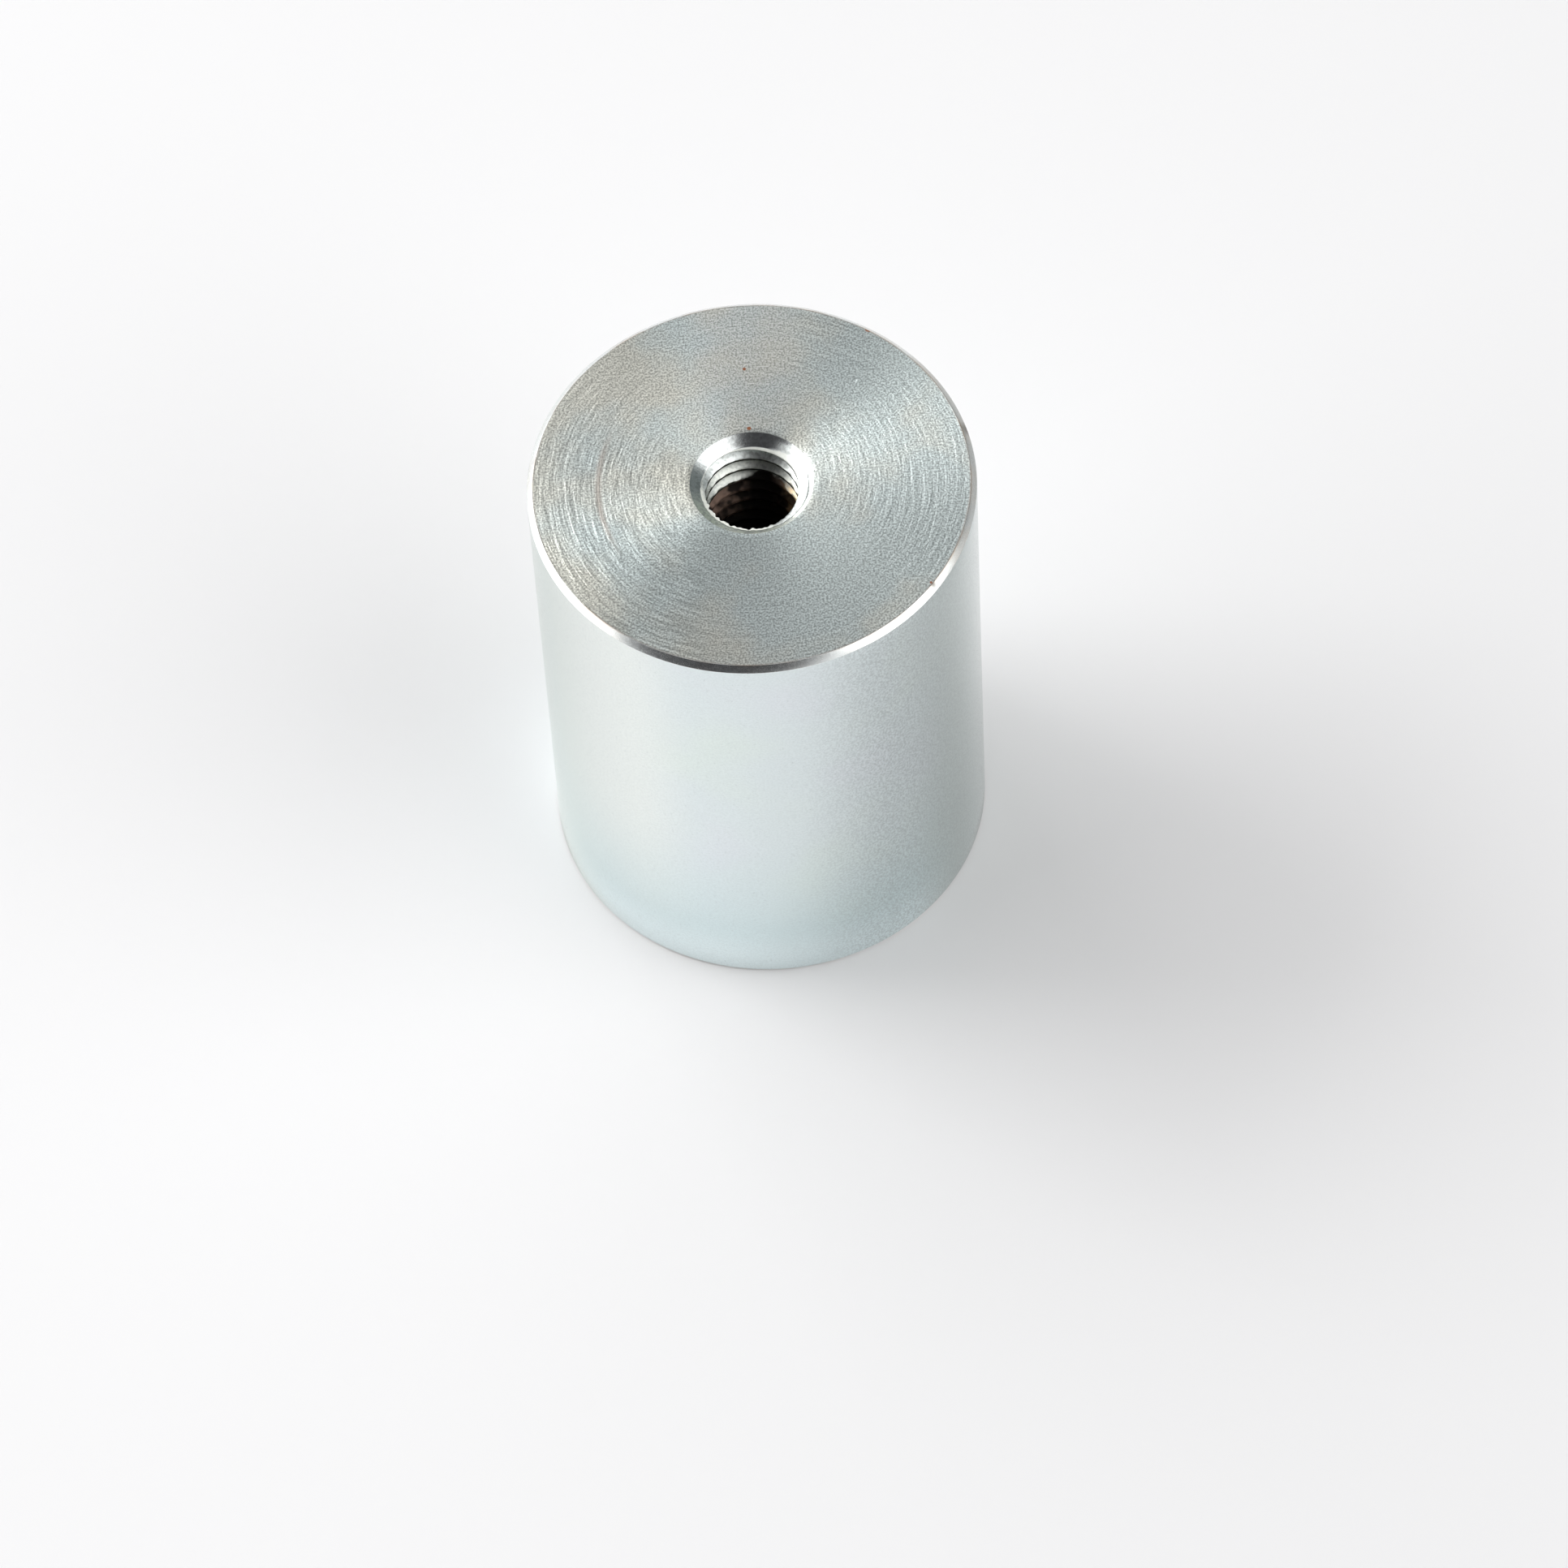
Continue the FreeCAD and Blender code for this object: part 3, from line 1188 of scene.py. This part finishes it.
@dataclass
class FilledBore:
    """The two solids that fill the pot's bore, ground flush with its rim."""

    sleeve: GroundFace = GroundFace("ground_brass", (0.80, 0.63, 0.34), (0.62, 0.47, 0.25), 0.3)
    core: GroundFace = GroundFace(
        "ground_magnet_alloy", (0.50, 0.50, 0.51), (0.36, 0.36, 0.37), 0.36, pits=0.8
    )

    def build(self, effects: Effects) -> None:
        """Dresses both solids.

        Args:
            effects: the shared effects.
        """
        for node, finish in (("spacer_sleeve", self.sleeve), ("magnet_core", self.core)):
            solid = frame["nodes"][node]
            solid.data.materials.clear()
            solid.data.materials.append(finish.material(effects))
            LOG.info("%s: %s", node, finish.name)


def towards(azimuth: float, elevation: float) -> Vector:
    """Turns an azimuth and an elevation into a direction.

    Args:
        azimuth: degrees from the camera's side, growing towards the camera's right.
        elevation: degrees above the floor.

    Returns:
        The direction from the magnet, of length 1.
    """
    round_axis, above = math.radians(azimuth), math.radians(elevation)
    across = math.cos(above)
    return Vector((math.sin(round_axis) * across, -math.cos(round_axis) * across, math.sin(above)))


@dataclass(frozen=True)
class SoftBox:
    """A soft rectangular lamp.

    It stands at an azimuth, a distance from the axis and a height. Its face is turned to
    another azimuth's line of sight, and leans back so that it looks down by some degrees.
    """

    name: str
    azimuth: float
    distance: float
    height: float
    turned: float
    lean: float
    width: float
    tall: float
    radiance: float

    def build(self) -> None:
        """Adds the lamp. Its power is the radiance times pi times its area."""
        lamp = bpy.data.lights.new(self.name, "AREA")
        lamp.shape = "RECTANGLE"
        lamp.size, lamp.size_y = self.width, self.tall
        lamp.energy = self.radiance * math.pi * self.width * self.tall
        holder = bpy.data.objects.new(self.name, lamp)
        holder.rotation_euler = towards(self.turned, self.lean).to_track_quat("Z", "Y").to_euler()
        holder.location = towards(self.azimuth, 0.0) * self.distance + Vector((0.0, 0.0, self.height))
        bpy.context.scene.collection.objects.link(holder)
        LOG.info("%s lamp: radiance %.2f", self.name, self.radiance)


@dataclass(frozen=True)
class DarkPatch:
    """A dark round patch of the room, at an azimuth and elevation in degrees."""

    azimuth: float
    elevation: float
    spread: float
    tone: Colour
    softness: float = 6.0

    def over(self, w: Wiring, direction: Socket, around: Socket) -> Socket:
        """Lays the patch over the rest of the room.

        The direction times the patch's own direction is the cosine of the angle between them.

        Args:
            w: the world's wiring.
            direction: the direction that is looked at.
            around: the colour without the patch.

        Returns:
            The colour with the patch.
        """
        own = tuple(towards(self.azimuth, self.elevation))
        facing = w.node("ShaderNodeVectorMath", direction, own, operation="DOT_PRODUCT")
        outer = math.cos(math.radians(self.spread + self.softness))
        inner = math.cos(math.radians(self.spread - self.softness))
        return w.blend(w.step(facing.outputs["Value"], outer, inner), around, self.tone)


@dataclass
class Studio:
    """Pale floor, soft lamps and the camera at the photograph's viewing angle."""

    floor_size: float = 6.0
    floor_gap: float = 0.01 * MM
    walls: Colour = (0.95, 0.95, 0.96)
    ceiling: Colour = (0.43, 0.43, 0.44)
    ceiling_edge: Span = (0.58, 0.88)
    backdrop: Colour = (0.93, 0.93, 0.935)
    camera_back: float = 339.54 * MM
    camera_height: float = 523.83 * MM
    aim: tuple[float, float, float] = (0.96 * MM, 0.36 * MM, 0.0)
    roll: float = math.radians(-3.6)
    lens_mm: float = 191.17
    sensor_mm: float = 36.0
    nearest: float = 10.0 * MM
    lamps: tuple[SoftBox, ...] = (
        SoftBox("key_core", -112.0, 0.52, 0.468, -112.0, 42.0, 0.36, 0.36, 3.6),
        SoftBox("key_wall", -94.4, 0.694, 0.48, -125.0, 0.0, 1.54, 0.9, 1.2),
        SoftBox("right_card", 68.0, 0.68, 0.58, 68.0, 40.0, 0.83, 0.95, 1.42),
    )
    patches: tuple[DarkPatch, ...] = (
        DarkPatch(-24.0, 49.0, 40.3, (0.041, 0.041, 0.045), 8.0),
        DarkPatch(150.0, 12.0, 20.0, (0.27, 0.30, 0.28)),
        DarkPatch(117.0, 32.5, 21.0, (0.135, 0.155, 0.155)),
    )

    def floor(self) -> None:
        """Adds the floor under the magnetic face."""
        half = self.floor_size / 2.0
        corners = [(-half, -half, 0.0), (half, -half, 0.0), (half, half, 0.0), (-half, half, 0.0)]
        mesh = bpy.data.meshes.new("floor")
        mesh.from_pydata(corners, [], [(0, 1, 2, 3)])
        sheet = bpy.data.objects.new("floor", mesh)
        sheet.location.z = -self.floor_gap
        mesh.materials.append(ShopFloor().material())
        bpy.context.scene.collection.objects.link(sheet)

    def world(self) -> None:
        """Lights the rest: pale walls, a grey ceiling and the dark patches."""
        world = bpy.data.worlds.new("studio")
        world.use_nodes = True
        bpy.context.scene.world = world
        w = Wiring(world.node_tree)
        background = world.node_tree.nodes["Background"]
        direction = w.node("ShaderNodeTexCoord").outputs["Generated"]
        _, _, up = w.split(direction)
        room = w.blend(w.step(up, *self.ceiling_edge), self.walls, self.ceiling)
        for patch in self.patches:
            room = patch.over(w, direction, room)
        seen = w.node("ShaderNodeLightPath").outputs["Is Camera Ray"]
        w.feed(background.inputs["Color"], w.blend(seen, room, self.backdrop))

    def camera(self) -> None:
        """Adds the camera: it looks from its place to the aim, then rolls about its view."""
        lens = bpy.data.cameras.new("camera")
        lens.sensor_width = self.sensor_mm
        lens.lens = self.lens_mm
        lens.clip_start = self.nearest
        holder = bpy.data.objects.new("camera", lens)
        place = Vector((0.0, -self.camera_back, self.camera_height))
        looking = (Vector(self.aim) - place).to_track_quat("-Z", "Y").to_matrix()
        turned = looking @ Matrix.Rotation(self.roll, 3, "Z")
        holder.matrix_world = Matrix.Translation(place) @ turned.to_4x4()
        bpy.context.scene.collection.objects.link(holder)
        bpy.context.scene.camera = holder

    def build(self) -> None:
        """Adds everything and sets the plain view transform."""
        self.floor()
        self.world()
        self.camera()
        for lamp in self.lamps:
            lamp.build()
        bpy.context.scene.view_settings.view_transform = "Standard"


def main() -> None:
    """Builds the magnet and the studio in order."""
    logging.basicConfig(level=logging.INFO, format="%(name)s: %(message)s")
    effects = Effects()
    PotHousing().build(effects)
    FilledBore().build(effects)
    Studio().build()


if __name__ == "__main__":
    main()
